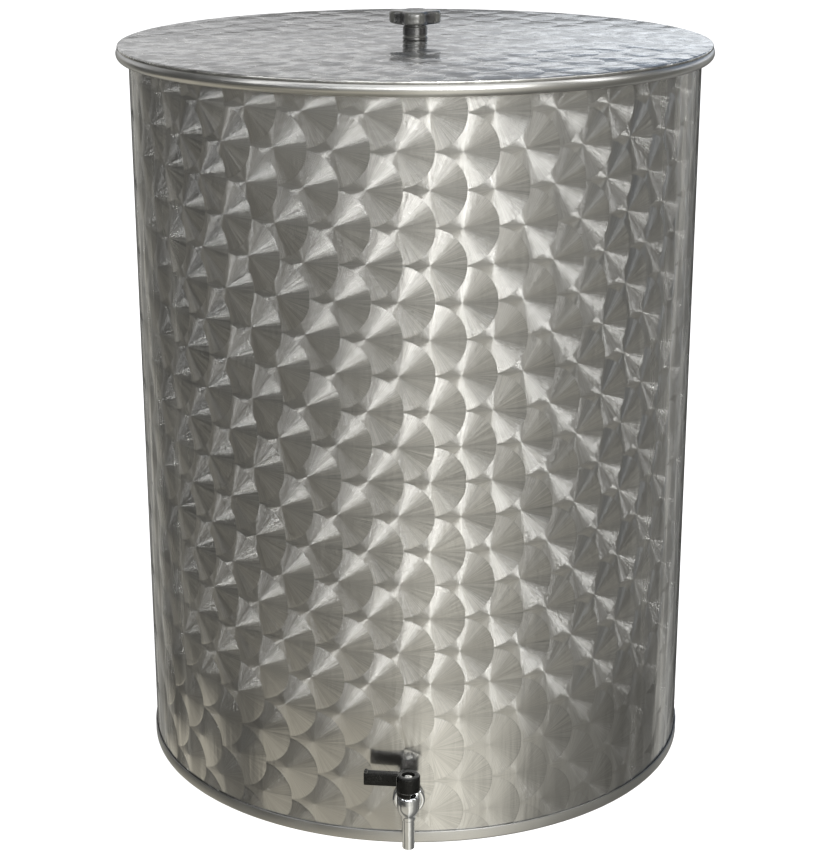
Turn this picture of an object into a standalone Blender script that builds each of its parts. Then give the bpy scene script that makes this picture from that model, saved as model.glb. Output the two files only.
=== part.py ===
"""Small cylindrical stainless-steel storage drum with a loose flat lid and a lever tap.

Metres, +Z up. The origin is on the drum's axis at floor level and the tap faces -Y.
Each visible object is one piece of the assembly.
"""

import math

import bmesh
import bpy
from mathutils import Matrix

# Shared
GAP = 0.0003
BIG_STEPS = 96
SMALL_STEPS = 36
MERGE = 1e-7

# Shell
BODY_R = 0.265
CUTTER_REACH = 0.05
WALL_T = 0.0008
PLATE_T = 0.001
FLANGE_T = 0.0015
FLANGE_H = 0.0115
FLANGE_FOOT = 0.0034
FLANGE_CORNER = 0.0022
WALL_SEAMS_DEG = (
    0.0, 22.5, 45.0, 67.5, 90.0, 112.5, 135.0, 157.5, 180.0, 202.5, 225.0,
    240.0, 258.75, 281.25, 300.0, 315.0, 337.5, 360.0,
)
SEAM_W = 0.004
SEAM_T = 0.0005

# Rolled rim and lid
LID_TOP = 0.690
LID_T = 0.001
LID_R = 0.2752
LID_LIP = 0.0025
LID_CORNER = 0.0015
LID_HOLE_R = 0.0044
BEAD_R = 0.0062
BEAD_T = 0.0008
BEAD_TOP = LID_TOP - LID_T - GAP
BEAD_Z = BEAD_TOP - BEAD_R
BEAD_CENTRE_R = BODY_R - WALL_T + BEAD_R
BEAD_END_DEG = -150.0

# Knob
KNOB_R = 0.024
KNOB_VALLEY = 0.0062
KNOB_LOBE_WIDTH = 1.6
KNOB_HUB_R = 0.0117
KNOB_H = 0.027
KNOB_HEAD_Z = 0.0145
KNOB_ROUND = 0.0007
KNOB_BORE_R = 0.0041
KNOB_BORE_DEPTH = 0.016
KNOB_STEPS = 64
SCREW_R = 0.0037
SCREW_HEAD_AF = 0.013
SCREW_HEAD_H = 0.0053
SCREW_LENGTH = 0.014

# Tap
TAP_REACH = 0.020
TAP_Y = -(BODY_R + TAP_REACH)
SHANK_Z = 0.046
SHANK_R = 0.0100
SHANK_BORE_R = 0.0050
SHANK_IN = 0.016
STUB_R = 0.0080
STUB_END = 0.0093
GASKET_T = 0.0015
GASKET_R = 0.0138
TAP_FLANGE_R = 0.0146
TAP_FLANGE_T = 0.0040
TAP_FLANGE_CHAMFER = 0.0012
SEAL_SAG = 0.0008
INNER_NUT_AF = 0.027
INNER_NUT_T = 0.005
TAP_BODY_PROFILE = (
    (0.0, 0.0635), (0.0046, 0.0635), (0.0046, 0.0602), (0.0078, 0.0598), (0.0098, 0.0582),
    (0.0103, 0.0562), (0.0103, 0.0475), (0.0096, 0.0440), (0.0083, 0.0412), (0.0071, 0.0392),
    (0.0066, 0.0372), (0.0066, 0.0352), (0.0060, 0.0345), (0.0, 0.0345),
)
SPOUT_R = 0.0055
SPOUT_BORE_R = 0.0043
SPOUT_TOP = 0.0342
SPOUT_END = 0.0063

# Lever
LEVER_REST_DEG = 175.0
LEVER_Z = 0.0641
HUB_R = 0.0107
HUB_H = 0.0147
HUB_RECESS_R = 0.0060
HUB_RECESS_DEPTH = 0.0040
HUB_BORE_R = 0.0034
HUB_EDGE = 0.0016
SKIRT_T = 0.0018
SKIRT_DROP = 0.0044
SKIRT_DEG = (186.0, 282.0)
SKIRT_STEPS = 8
BAR_LENGTH = 0.0397
BAR_W = 0.0074
BAR_LOW = 0.0039
BAR_HIGH = 0.0160
BAR_NUB = 0.0013
BAR_NUB_L = 0.0028
BAR_EDGE = 0.0008
BAR_ROOT = 0.0022
LEVER_SCREW_R = 0.0042
LEVER_SCREW_H = 0.0022


def clear_scene():
    """Removes every object of the startup scene."""
    for old in list(bpy.data.objects):
        bpy.data.objects.remove(old, do_unlink=True)


def finish(name, colour, metallic, roughness):
    """A Principled material."""
    mat = bpy.data.materials.new(name)
    mat.use_nodes = True
    shader = mat.node_tree.nodes["Principled BSDF"]
    shader.inputs["Base Color"].default_value = (*colour, 1.0)
    shader.inputs["Metallic"].default_value = metallic
    shader.inputs["Roughness"].default_value = roughness
    return mat


def add_object(name, bm, mat, place=(0.0, 0.0, 0.0)):
    """Links the bmesh as a named object, welded, facing out and shaded smooth with sharp edges."""
    bmesh.ops.remove_doubles(bm, verts=bm.verts, dist=MERGE)
    bmesh.ops.recalc_face_normals(bm, faces=bm.faces)
    mesh = bpy.data.meshes.new(name)
    bm.to_mesh(mesh)
    bm.free()
    mesh.shade_smooth()
    mesh.set_sharp_from_angle(angle=math.radians(32))
    if mat is not None:
        mesh.materials.append(mat)
    made = bpy.data.objects.new(name, mesh)
    made.location = place
    bpy.context.scene.collection.objects.link(made)
    return made


def add_helper(name, bm, place=(0.0, 0.0, 0.0)):
    """A cutter or joining shape that is not a piece."""
    made = add_object(name, bm, None, place)
    made.hide_render = True
    made.display_type = "WIRE"
    return made


def combine(target, helper, operation):
    """A live Boolean on the target."""
    step = target.modifiers.new(helper.name, "BOOLEAN")
    step.object = helper
    step.operation = operation
    step.solver = "EXACT"


def arc(centre_r, centre_z, radius, from_deg, to_deg, count):
    """Points on an arc in the section plane, each end included."""
    turns = [math.radians(from_deg + (to_deg - from_deg) * i / count) for i in range(count + 1)]
    return [(centre_r + radius * math.cos(t), centre_z + radius * math.sin(t)) for t in turns]


def revolve(profile, steps=BIG_STEPS, from_deg=0.0, turn_deg=360.0):
    """Spins a closed section (r, z) about Z, through a full turn or part of one."""
    full = turn_deg == 360.0
    start = math.radians(from_deg)
    bm = bmesh.new()
    ring = [bm.verts.new((r * math.cos(start), r * math.sin(start), z)) for r, z in profile]
    for one, two in zip(ring, ring[1:] + ring[:1]):
        if one.co.to_2d().length > MERGE or two.co.to_2d().length > MERGE:
            bm.edges.new((one, two))
    bmesh.ops.spin(
        bm, geom=bm.verts[:] + bm.edges[:], cent=(0, 0, 0), axis=(0, 0, 1),
        angle=math.radians(turn_deg), steps=steps, use_merge=full,
    )
    bmesh.ops.remove_doubles(bm, verts=bm.verts, dist=MERGE)
    if not full:
        bmesh.ops.edgeloop_fill(bm, edges=[e for e in bm.edges if e.is_boundary])
    return bm


def loft(rings):
    """Extrudes a ring of points to each next ring of equal count, and fills both ends flat."""
    bm = bmesh.new()
    ring = [bm.verts.new(p) for p in rings[0]]
    edges = [bm.edges.new(pair) for pair in zip(ring, ring[1:] + ring[:1])]
    bmesh.ops.edgeloop_fill(bm, edges=edges)
    for points in rings[1:]:
        made = set(bmesh.ops.extrude_edge_only(bm, edges=edges)["geom"])
        steps = [[e.other_vert(v) for e in v.link_edges] for v in ring]
        ring = [next(v for v in choices if v in made) for choices in steps]
        edges = [e for e in bm.edges if e in made and all(v in made for v in e.verts)]
        for vert, point in zip(ring, points):
            vert.co = point
    bmesh.ops.edgeloop_fill(bm, edges=edges)
    return bm


def outward(bm):
    """Turns a shape made about +Z so that its axis points to -Y."""
    bmesh.ops.transform(bm, matrix=Matrix.Rotation(math.radians(90), 4, "X"), verts=bm.verts)
    return bm


def rod(radius, low, high, steps=SMALL_STEPS):
    """A solid round bar along Z, or one with flat sides where the steps are few."""
    bm = bmesh.new()
    bmesh.ops.create_cone(
        bm, segments=steps, radius1=radius, radius2=radius, depth=high - low,
        cap_ends=True, matrix=Matrix.Translation((0, 0, (low + high) / 2)),
    )
    return bm


def tube(outer_r, inner_r, low, high, steps=SMALL_STEPS):
    """A round tube along Z."""
    return revolve([(outer_r, low), (outer_r, high), (inner_r, high), (inner_r, low)], steps)


def box(low, high):
    """A plain box between two corners."""
    bm = bmesh.new()
    bmesh.ops.create_cube(bm, size=1.0)
    size = [b - a for a, b in zip(low, high)]
    centre = [(a + b) / 2 for a, b in zip(low, high)]
    matrix = Matrix.Translation(centre) @ Matrix.Diagonal((*size, 1.0))
    bmesh.ops.transform(bm, matrix=matrix, verts=bm.verts)
    return bm


def hexagon_bar(across_flats, low, high):
    """A solid hexagon bar along Z."""
    return rod(across_flats / math.sqrt(3), low, high, 6)


def build_walls(mat):
    """The rolled sheet, in segments that together make the full round, with the tap's hole."""
    low = PLATE_T + GAP
    high = BEAD_Z - GAP
    section = [(BODY_R, low), (BODY_R, high), (BODY_R - WALL_T, high), (BODY_R - WALL_T, low)]
    inset = math.degrees(GAP / 2 / BODY_R)
    front = None
    for number, (start, end) in enumerate(zip(WALL_SEAMS_DEG, WALL_SEAMS_DEG[1:]), 1):
        steps = round((end - start) * BIG_STEPS / 360.0)
        bm = revolve(section, steps, start + inset, end - start - 2 * inset)
        made = add_object(f"wall_segment_{number:02d}", bm, mat)
        if start < 270.0 < end:
            front = made
    hole = outward(rod(SHANK_R + GAP, -CUTTER_REACH, CUTTER_REACH))
    cutter = add_helper("wall_hole_cutter", hole, (0, -BODY_R, SHANK_Z))
    combine(front, cutter, "DIFFERENCE")


def build_bottom(mat):
    """The flat bottom and the turned-up flange round it."""
    foot_r = BODY_R - FLANGE_FOOT
    outer_r = BODY_R + GAP + FLANGE_T
    add_object("bottom_plate", rod(foot_r - GAP, 0, PLATE_T, BIG_STEPS), mat)
    corner = arc(outer_r - FLANGE_CORNER, FLANGE_CORNER, FLANGE_CORNER, -90, 0, 4)
    lip = arc(outer_r - FLANGE_T / 2, FLANGE_H - FLANGE_T / 2, FLANGE_T / 2, 0, 180, 4)
    section = [(foot_r, 0), *corner, *lip, (BODY_R + GAP, PLATE_T), (foot_r, PLATE_T)]
    add_object("bottom_flange", revolve(section), mat)


def build_rim(mat):
    """The mouth of the sheet, rolled outward into an open curl."""
    outside = arc(BEAD_CENTRE_R, BEAD_Z, BEAD_R, 180, BEAD_END_DEG, 16)
    inside = arc(BEAD_CENTRE_R, BEAD_Z, BEAD_R - BEAD_T, BEAD_END_DEG, 180, 12)
    add_object("rim_bead", revolve(outside + inside), mat)


def build_seam(mat):
    """The upright weld at the back."""
    wide = math.degrees(SEAM_W / BODY_R)
    low, high = FLANGE_H + GAP, BEAD_Z - BEAD_R - GAP
    inner = BODY_R + GAP
    section = [(inner + SEAM_T, low), (inner + SEAM_T, high), (inner, high), (inner, low)]
    add_object("weld_seam", revolve(section, 2, 90.0 - wide / 2, wide), mat)


def build_lid(mat):
    """The flat lid, its edge turned down over the shoulder of the rim."""
    inner_r = LID_R - LID_T
    edge = arc(LID_R - LID_CORNER, -LID_CORNER, LID_CORNER, 90, 0, 4)
    section = [
        (LID_HOLE_R, 0), *edge, (LID_R, -LID_LIP), (inner_r, -LID_LIP),
        (inner_r, -LID_T - GAP), (inner_r - GAP, -LID_T), (LID_HOLE_R, -LID_T),
    ]
    add_object("lid_plate", revolve(section), mat, (0, 0, LID_TOP))


def lobed(radius, depth):
    """A ring outline with four lobes, the valleys on the diagonals."""
    ring = []
    for i in range(KNOB_STEPS):
        turn = math.tau * i / KNOB_STEPS
        valley = ((1 - math.cos(4 * turn)) / 2) ** KNOB_LOBE_WIDTH
        r = radius - depth * valley
        ring.append((r * math.cos(turn), r * math.sin(turn)))
    return ring


def build_knob(mat):
    """The four-lobed knob on its hub, bored from below for its screw."""
    head, step = KNOB_HEAD_Z, KNOB_ROUND
    layers = [
        (KNOB_BORE_R, 0, KNOB_BORE_DEPTH),
        (KNOB_BORE_R, 0, GAP),
        (KNOB_HUB_R - step, 0, GAP),
        (KNOB_HUB_R, 0, GAP + step),
        (KNOB_HUB_R, 0, head - 2 * step),
        (KNOB_R - 6 * step, KNOB_VALLEY * 0.8, head),
        (KNOB_R - step, KNOB_VALLEY, head + 2 * step),
        (KNOB_R, KNOB_VALLEY, head + 4 * step),
        (KNOB_R, KNOB_VALLEY, KNOB_H - 3 * step),
        (KNOB_R - step, KNOB_VALLEY, KNOB_H - step),
        (KNOB_R - 3 * step, KNOB_VALLEY, KNOB_H),
    ]
    rings = [[(x, y, z) for x, y in lobed(r, depth)] for r, depth, z in layers]
    add_object("lid_knob", loft(rings), mat, (0, 0, LID_TOP))


def build_knob_screw(mat):
    """The hexagon screw that holds the knob from under the lid."""
    place = (0, 0, LID_TOP)
    high = -LID_T - GAP
    low = high - SCREW_HEAD_H
    made = add_object("lid_knob_screw", hexagon_bar(SCREW_HEAD_AF, low, high), mat, place)
    shaft = rod(SCREW_R, high - SCREW_HEAD_H / 2, SCREW_LENGTH)
    combine(made, add_helper("knob_screw_shaft", shaft, place), "UNION")


def build_tap_fixing(chrome, rubber, steel):
    """The shank through the wall, its flange and seal outside, and its seal and nut inside."""
    place = (0, -BODY_R, SHANK_Z)
    bore_r = SHANK_R + GAP
    shank = tube(SHANK_R, SHANK_BORE_R, -SHANK_IN, STUB_END - GAP)
    add_object("tap_shank", outward(shank), chrome, place)
    outer_seal = tube(GASKET_R, bore_r, GAP, GAP + GASKET_T)
    add_object("tap_outer_seal", outward(outer_seal), rubber, place)
    low = GASKET_T + 2 * GAP
    high = low + TAP_FLANGE_T
    section = [
        (TAP_FLANGE_R, low), (TAP_FLANGE_R, high - 1.5 * TAP_FLANGE_CHAMFER),
        (TAP_FLANGE_R - TAP_FLANGE_CHAMFER, high), (bore_r, high), (bore_r, low),
    ]
    add_object("tap_wall_flange", outward(revolve(section, SMALL_STEPS)), chrome, place)
    face = -WALL_T - SEAL_SAG
    inner_seal = tube(GASKET_R, bore_r, face - GASKET_T, face)
    add_object("tap_inner_seal", outward(inner_seal), rubber, place)
    face -= GASKET_T + GAP
    nut = hexagon_bar(INNER_NUT_AF, face - INNER_NUT_T, face)
    made = add_object("tap_inner_nut", outward(nut), steel, place)
    hole = outward(rod(bore_r, -CUTTER_REACH, CUTTER_REACH))
    combine(made, add_helper("inner_nut_cutter", hole, place), "DIFFERENCE")


def build_tap_body(chrome):
    """The upright tap body with its stub to the shank, and the spout below it."""
    body = revolve(list(TAP_BODY_PROFILE), SMALL_STEPS)
    made = add_object("tap_body", body, chrome, (0, TAP_Y, 0))
    stub = rod(STUB_R, 0, TAP_REACH - STUB_END)
    bmesh.ops.transform(stub, matrix=Matrix.Rotation(math.radians(-90), 4, "X"), verts=stub.verts)
    combine(made, add_helper("tap_stub", stub, (0, TAP_Y, SHANK_Z)), "UNION")
    spout = tube(SPOUT_R, SPOUT_BORE_R, SPOUT_END, SPOUT_TOP)
    add_object("tap_spout", spout, chrome, (0, TAP_Y, 0))


def lever_hub():
    """The round hub, bored for its screw and recessed on top."""
    floor = HUB_H - HUB_RECESS_DEPTH
    shoulder = arc(HUB_R - HUB_EDGE, HUB_H - HUB_EDGE, HUB_EDGE, 0, 90, 3)
    section = [
        (HUB_BORE_R, 0), (HUB_R, 0), *shoulder,
        (HUB_RECESS_R, HUB_H), (HUB_RECESS_R, floor), (HUB_BORE_R, floor),
    ]
    return revolve(section, SMALL_STEPS)


def lever_bar():
    """The upright bar of the lever along +X, its long edges broken."""
    bar = box((HUB_R - BAR_ROOT, -BAR_W / 2, BAR_LOW), (BAR_LENGTH, BAR_W / 2, BAR_HIGH))
    long_edges = [e for e in bar.edges if abs(e.verts[0].co.x - e.verts[1].co.x) > BAR_W]
    bmesh.ops.bevel(
        bar, geom=long_edges, offset=BAR_EDGE, segments=1, affect="EDGES", profile=0.5, material=-1
    )
    return bar


def lever_nub():
    """The small raised end of the bar."""
    half = BAR_W / 2 - BAR_EDGE
    far = BAR_LENGTH - BAR_EDGE / 2
    return box((far - BAR_NUB_L, -half, BAR_HIGH - BAR_NUB), (far, half, BAR_HIGH + BAR_NUB))


def lever_skirt():
    """The stop skirt under the hub, round a quarter of it."""
    first, last = SKIRT_DEG
    outer, inner = HUB_R - GAP, HUB_R - SKIRT_T
    section = [(outer, -SKIRT_DROP), (outer, SKIRT_T), (inner, SKIRT_T), (inner, -SKIRT_DROP)]
    return revolve(section, SKIRT_STEPS, first, last - first)


def build_lever(plastic, steel):
    """The black lever with its hub, bar and stop skirt, and the screw in its recess."""
    place = (0, TAP_Y, LEVER_Z)
    lever = add_object("tap_lever", lever_hub(), plastic, place)
    for name, bm in (("lever_bar", lever_bar()), ("lever_nub", lever_nub())):
        helper = add_helper(name, bm, place)
        helper.rotation_euler.z = math.radians(LEVER_REST_DEG)
        combine(lever, helper, "UNION")
    combine(lever, add_helper("lever_skirt", lever_skirt(), place), "UNION")
    low = HUB_H - HUB_RECESS_DEPTH + GAP
    high = low + LEVER_SCREW_H
    shaft_r = HUB_BORE_R - GAP
    head = arc(LEVER_SCREW_R - LEVER_SCREW_H, low, LEVER_SCREW_H, 0, 90, 4)
    section = [(0, -GAP), (shaft_r, -GAP), (shaft_r, low), *head, (0, high)]
    add_object("tap_lever_screw", revolve(section, SMALL_STEPS), steel, place)


def main():
    """Builds every piece of the drum."""
    clear_scene()
    swirl_steel = finish("swirl_steel", (0.62, 0.61, 0.59), 1.0, 0.32)
    plain_steel = finish("plain_steel", (0.60, 0.60, 0.59), 1.0, 0.30)
    chrome = finish("chrome", (0.85, 0.85, 0.86), 1.0, 0.08)
    black_plastic = finish("black_plastic", (0.02, 0.02, 0.02), 0.0, 0.40)
    rubber = finish("rubber", (0.03, 0.03, 0.03), 0.0, 0.80)
    build_bottom(swirl_steel)
    build_walls(swirl_steel)
    build_rim(plain_steel)
    build_seam(plain_steel)
    build_lid(swirl_steel)
    build_knob(black_plastic)
    build_knob_screw(plain_steel)
    build_tap_fixing(chrome, rubber, plain_steel)
    build_tap_body(chrome)
    build_lever(black_plastic, plain_steel)


main()
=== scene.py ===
"""Dressed model of a small stainless-steel storage drum with a loose lid and a lever tap.

Metres, +Z up. The drum's axis is the Z axis, its foot stands at z = 0 and the tap faces -Y.
"""

import logging
import math
from dataclasses import dataclass
from enum import Enum
from typing import Callable, ClassVar, Iterable, Optional, Sequence, Union

import bmesh
import bpy
from mathutils import Matrix, Vector


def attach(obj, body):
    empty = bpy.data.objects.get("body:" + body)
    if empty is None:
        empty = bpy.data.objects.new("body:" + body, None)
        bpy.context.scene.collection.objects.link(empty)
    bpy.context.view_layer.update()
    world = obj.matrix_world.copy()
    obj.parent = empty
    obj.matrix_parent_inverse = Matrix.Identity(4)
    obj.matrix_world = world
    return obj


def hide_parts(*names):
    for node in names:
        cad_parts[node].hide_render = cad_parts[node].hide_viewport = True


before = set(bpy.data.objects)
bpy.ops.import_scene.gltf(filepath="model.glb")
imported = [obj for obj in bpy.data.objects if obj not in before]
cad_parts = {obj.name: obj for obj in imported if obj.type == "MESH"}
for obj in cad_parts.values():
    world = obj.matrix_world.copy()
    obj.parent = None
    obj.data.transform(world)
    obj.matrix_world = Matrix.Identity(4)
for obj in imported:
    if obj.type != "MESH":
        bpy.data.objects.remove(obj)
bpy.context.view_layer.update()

LOG = logging.getLogger("drum")
Mesh = bmesh.types.BMesh
Node = bpy.types.Node
Socket = bpy.types.NodeSocket
Sockets = dict[str, bpy.types.NodeSocket]
Tree = bpy.types.NodeTree
Material = bpy.types.Material
Point = tuple[float, float]
Triple = tuple[float, float, float]
Value = Union[float, Socket]
Colour = Union[Triple, Socket]

MERGE = 1e-7
BODY_R = 0.265
SHEET_T = 0.0008
GAP = 0.0003
HOLE_Z = 0.046
TAP_Y = -0.285
FULL_TURN_STEPS = 288
WHITE: Triple = (1.0, 1.0, 1.0)


class Sheet(Enum):
    """Which way a patterned sheet lies, and so how its pattern is laid out."""

    WALL = "wall"
    FLAT = "flat"


class Body(Enum):
    """The moving bodies of the drum."""

    TANK = "tank"
    LID = "lid"
    LEVER = "lever"


# Meshes


def arc(centre: Point, radius: float, start: float, end: float, count: int) -> list[Point]:
    """Gives points on an arc in the section plane, each end included.

    Args:
        centre: The arc's centre as (r, z).
        radius: The arc's radius.
        start: First angle in degrees, from +r towards +z.
        end: Last angle in degrees.
        count: Number of steps.

    Returns:
        The points as (r, z).
    """
    turns = [math.radians(start + (end - start) * i / count) for i in range(count + 1)]
    return [(centre[0] + radius * math.cos(t), centre[1] + radius * math.sin(t)) for t in turns]


def turned(section: Sequence[Point], steps: int = 96, closed: bool = True) -> Mesh:
    """Spins a section (r, z) through a full turn about Z.

    Args:
        section: The section's points in order.
        steps: Steps in the turn.
        closed: Joins the last point to the first.

    Returns:
        The turned bmesh, its doubles merged.
    """
    bm = bmesh.new()
    ring = [bm.verts.new((r, 0.0, z)) for r, z in section]
    pairs = list(zip(ring, ring[1:] + ring[:1])) if closed else list(zip(ring, ring[1:]))
    for one, two in pairs:
        if abs(one.co.x) > MERGE or abs(two.co.x) > MERGE:
            bm.edges.new((one, two))
    bmesh.ops.spin(
        bm, geom=bm.verts[:] + bm.edges[:], cent=(0, 0, 0), axis=(0, 0, 1),
        angle=math.tau, steps=steps, use_merge=True,
    )
    bmesh.ops.remove_doubles(bm, verts=bm.verts, dist=MERGE)
    return bm


def prism(radius: float, depth: float, sides: int, place: Matrix) -> Mesh:
    """Makes a straight prism or rod at a place.

    Args:
        radius: Radius of its corners.
        depth: Its length along its own Z.
        sides: Number of sides.
        place: Turns and moves it from the origin.

    Returns:
        The bmesh.
    """
    bm = bmesh.new()
    bmesh.ops.create_cone(
        bm, segments=sides, radius1=radius, radius2=radius, depth=depth, cap_ends=True, matrix=place
    )
    return bm


def soften(bm: Mesh, width: float, segments: int = 2, corner: float = 40.0) -> None:
    """Bevels every edge that turns more sharply than a corner.

    Args:
        bm: The bmesh to change.
        width: Bevel width.
        segments: Segments across the bevel.
        corner: Smallest turn in degrees that counts.
    """
    bmesh.ops.recalc_face_normals(bm, faces=bm.faces)
    limit = math.radians(corner)
    sharp = [e for e in bm.edges if e.is_manifold and e.calc_face_angle(0.0) > limit]
    bmesh.ops.bevel(
        bm, geom=sharp, offset=width, offset_type="OFFSET", segments=segments, profile=0.5,
        affect="EDGES", clamp_overlap=True, material=-1,
    )


def rotated(bm: Mesh, degrees: float, axis: str = "Z") -> Mesh:
    """Turns the whole bmesh about an axis through the origin."""
    matrix = Matrix.Rotation(math.radians(degrees), 3, axis)
    bmesh.ops.rotate(bm, verts=bm.verts, cent=(0, 0, 0), matrix=matrix)
    return bm


def moved(bm: Mesh, by: Triple) -> Mesh:
    """Moves the whole bmesh."""
    bmesh.ops.translate(bm, verts=bm.verts, vec=by)
    return bm


def linked(name: str, data: bpy.types.ID) -> bpy.types.Object:
    """Makes an object of its data and links it in the scene."""
    made = bpy.data.objects.new(name, data)
    bpy.context.scene.collection.objects.link(made)
    return made


def piece(
    name: str, bm: Mesh, finishes: Sequence[Material],
    smooth: float = 35.0, choose: Optional[Callable[[Vector], int]] = None,
) -> bpy.types.Object:
    """Makes an object of a bmesh, welded, facing out and shaded smooth with sharp edges.

    Args:
        name: The piece's name.
        bm: The mesh, which is freed.
        finishes: Its materials.
        smooth: Edges that turn more than this many degrees stay sharp.
        choose: Gives a face's material number from its centre.

    Returns:
        The linked object.
    """
    bmesh.ops.remove_doubles(bm, verts=bm.verts, dist=MERGE)
    bmesh.ops.recalc_face_normals(bm, faces=bm.faces)
    if choose is not None:
        for face in bm.faces:
            face.material_index = choose(face.calc_center_median())
    mesh = bpy.data.meshes.new(name)
    bm.to_mesh(mesh)
    bm.free()
    mesh.shade_smooth()
    mesh.set_sharp_from_angle(angle=math.radians(smooth))
    for finish in finishes:
        mesh.materials.append(finish)
    return linked(name, mesh)


def combined(name: str, base: Mesh, others: Sequence[tuple[Mesh, str]]) -> Mesh:
    """Joins or cuts solids with exact Booleans.

    Args:
        name: A name for the helpers.
        base: The first solid, which is freed.
        others: Each further solid with its operation.

    Returns:
        The combined bmesh.
    """
    target = piece(name + "_base", base, [])
    helpers = []
    for number, (bm, operation) in enumerate(others):
        helper = piece(f"{name}_{number}", bm, [])
        step = target.modifiers.new(helper.name, "BOOLEAN")
        step.object = helper
        step.operation = operation
        step.solver = "EXACT"
        helpers.append(helper)
    graph = bpy.context.evaluated_depsgraph_get()
    result = bmesh.new()
    result.from_mesh(target.evaluated_get(graph).to_mesh())
    for old in [target, *helpers]:
        bpy.data.objects.remove(old, do_unlink=True)
    bmesh.ops.dissolve_degenerate(result, dist=1e-6, edges=result.edges)
    return result


# Node trees


class Sketch:
    """Adds nodes to one tree and joins them."""

    def __init__(self, tree: Tree) -> None:
        """Starts on a tree."""
        self.tree = tree

    def feed(self, socket: Socket, value: object) -> None:
        """Joins a socket to a source, or sets it to a plain value."""
        if isinstance(value, Socket):
            self.tree.links.new(value, socket)
        else:
            socket.default_value = value

    def supply(self, node: Node, values: dict[str, object]) -> None:
        """Feeds a node's inputs by name."""
        for name, value in values.items():
            self.feed(node.inputs[name], value)

    def node(self, kind: str, *values: object, **settings: object) -> Node:
        """Adds a node.

        Args:
            kind: The node's type, without its ShaderNode prefix.
            values: Sources or plain values for its first inputs.
            settings: Its properties by name.

        Returns:
            The node.
        """
        made = self.tree.nodes.new("ShaderNode" + kind)
        for key, value in settings.items():
            setattr(made, key, value)
        for socket, value in zip(made.inputs, values):
            self.feed(socket, value)
        return made

    def math(self, operation: str, *values: Value) -> Socket:
        """Adds a Math node over one to three values."""
        return self.node("Math", *values, operation=operation).outputs[0]

    def vector(self, operation: str, *values: object, result: str = "Vector") -> Socket:
        """Adds a Vector Math node and gives its Vector or its Value."""
        return self.node("VectorMath", *values, operation=operation).outputs[result]

    def scaled(self, vector: Socket, factor: Value) -> Socket:
        """Scales a vector."""
        made = self.node("VectorMath", vector, operation="SCALE")
        self.feed(made.inputs["Scale"], factor)
        return made.outputs["Vector"]

    def combine(self, x: Value, y: Value, z: Value) -> Socket:
        """Joins three numbers as a vector."""
        return self.node("CombineXYZ", x, y, z).outputs[0]

    def separate(self, vector: Socket) -> tuple[Socket, ...]:
        """Splits a vector in its three numbers."""
        return tuple(self.node("SeparateXYZ", vector).outputs)

    def mix(self, kind: str, factor: Value, off: object, on: object, **settings: object) -> Socket:
        """Adds a Mix node of a data type."""
        made = self.node("Mix", data_type=kind, **settings)
        for name, value in (("Factor", factor), ("A", off), ("B", on)):
            self.feed(next(s for s in made.inputs if s.name == name and s.enabled), value)
        return next(s for s in made.outputs if s.enabled)

    def blend(self, factor: Value, off: Colour, on: Colour, how: str = "MIX") -> Socket:
        """Mixes two colours."""
        off, on = (c if isinstance(c, Socket) else (*c, 1.0) for c in (off, on))
        return self.mix("RGBA", factor, off, on, blend_type=how)

    def toned(self, colour: Colour, tone: Socket) -> Socket:
        """Multiplies a colour by a number."""
        return self.blend(1.0, colour, self.combine(tone, tone, tone), "MULTIPLY")

    def noise(self, vector: Socket, scale: float, detail: float, rough: float = 0.5,
              space: str = "3D") -> Socket:
        """Adds a noise on a vector and gives its value."""
        made = self.node("TexNoise", vector, noise_dimensions=space)
        self.supply(made, {"Scale": scale, "Detail": detail, "Roughness": rough})
        return made.outputs["Fac"]

    def wave(self, along: Value, seed: Value, detail: float = 1.0) -> Socket:
        """Adds a noise along a number, another for each seed."""
        return self.noise(self.combine(along, seed, 0.0), 1.0, detail, space="2D")

    def chance(self, first: Value, second: Value) -> Node:
        """Adds a white noise over two numbers."""
        return self.node("TexWhiteNoise", self.combine(first, second, 0.0), noise_dimensions="2D")

    def ranged(self, value: Value, low: float, high: float, to_low: float, to_high: float,
               how: str = "LINEAR") -> Socket:
        """Maps a range of a number onto another, clamped."""
        return self.node("MapRange", value, low, high, to_low, to_high, interpolation_type=how).outputs[0]

    def fade(self, value: Value, off: float, on: float, least: Value = 0.0, most: Value = 1.0) -> Socket:
        """Maps a range of a number smoothly onto another, a mask from 0 to 1 unless given."""
        return self.ranged(value, off, on, least, most, "SMOOTHSTEP")

    def bumped(self, height: Socket, strength: float, distance: float) -> Socket:
        """Adds a Bump node and gives its normal."""
        made = self.node("Bump")
        self.supply(made, {"Strength": strength, "Distance": distance, "Height": height})
        return made.outputs["Normal"]

    def mixed(self, share: Value, one: Node, other: Node) -> Node:
        """Mixes two shaders by the share of the second."""
        return self.node("MixShader", share, one.outputs[0], other.outputs[0])

    def ramp(self, factor: Socket, stops: Sequence[tuple[float, Triple]], ease: str) -> Socket:
        """Adds a Color Ramp with the given stops."""
        made = self.node("ValToRGB", factor)
        ramp = made.color_ramp
        ramp.interpolation = ease
        while len(ramp.elements) > 1:
            ramp.elements.remove(ramp.elements[-1])
        ramp.elements[0].position = stops[0][0]
        ramp.elements[0].color = (*stops[0][1], 1.0)
        for place, colour in stops[1:]:
            ramp.elements.new(place).color = (*colour, 1.0)
        return made.outputs[0]


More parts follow.
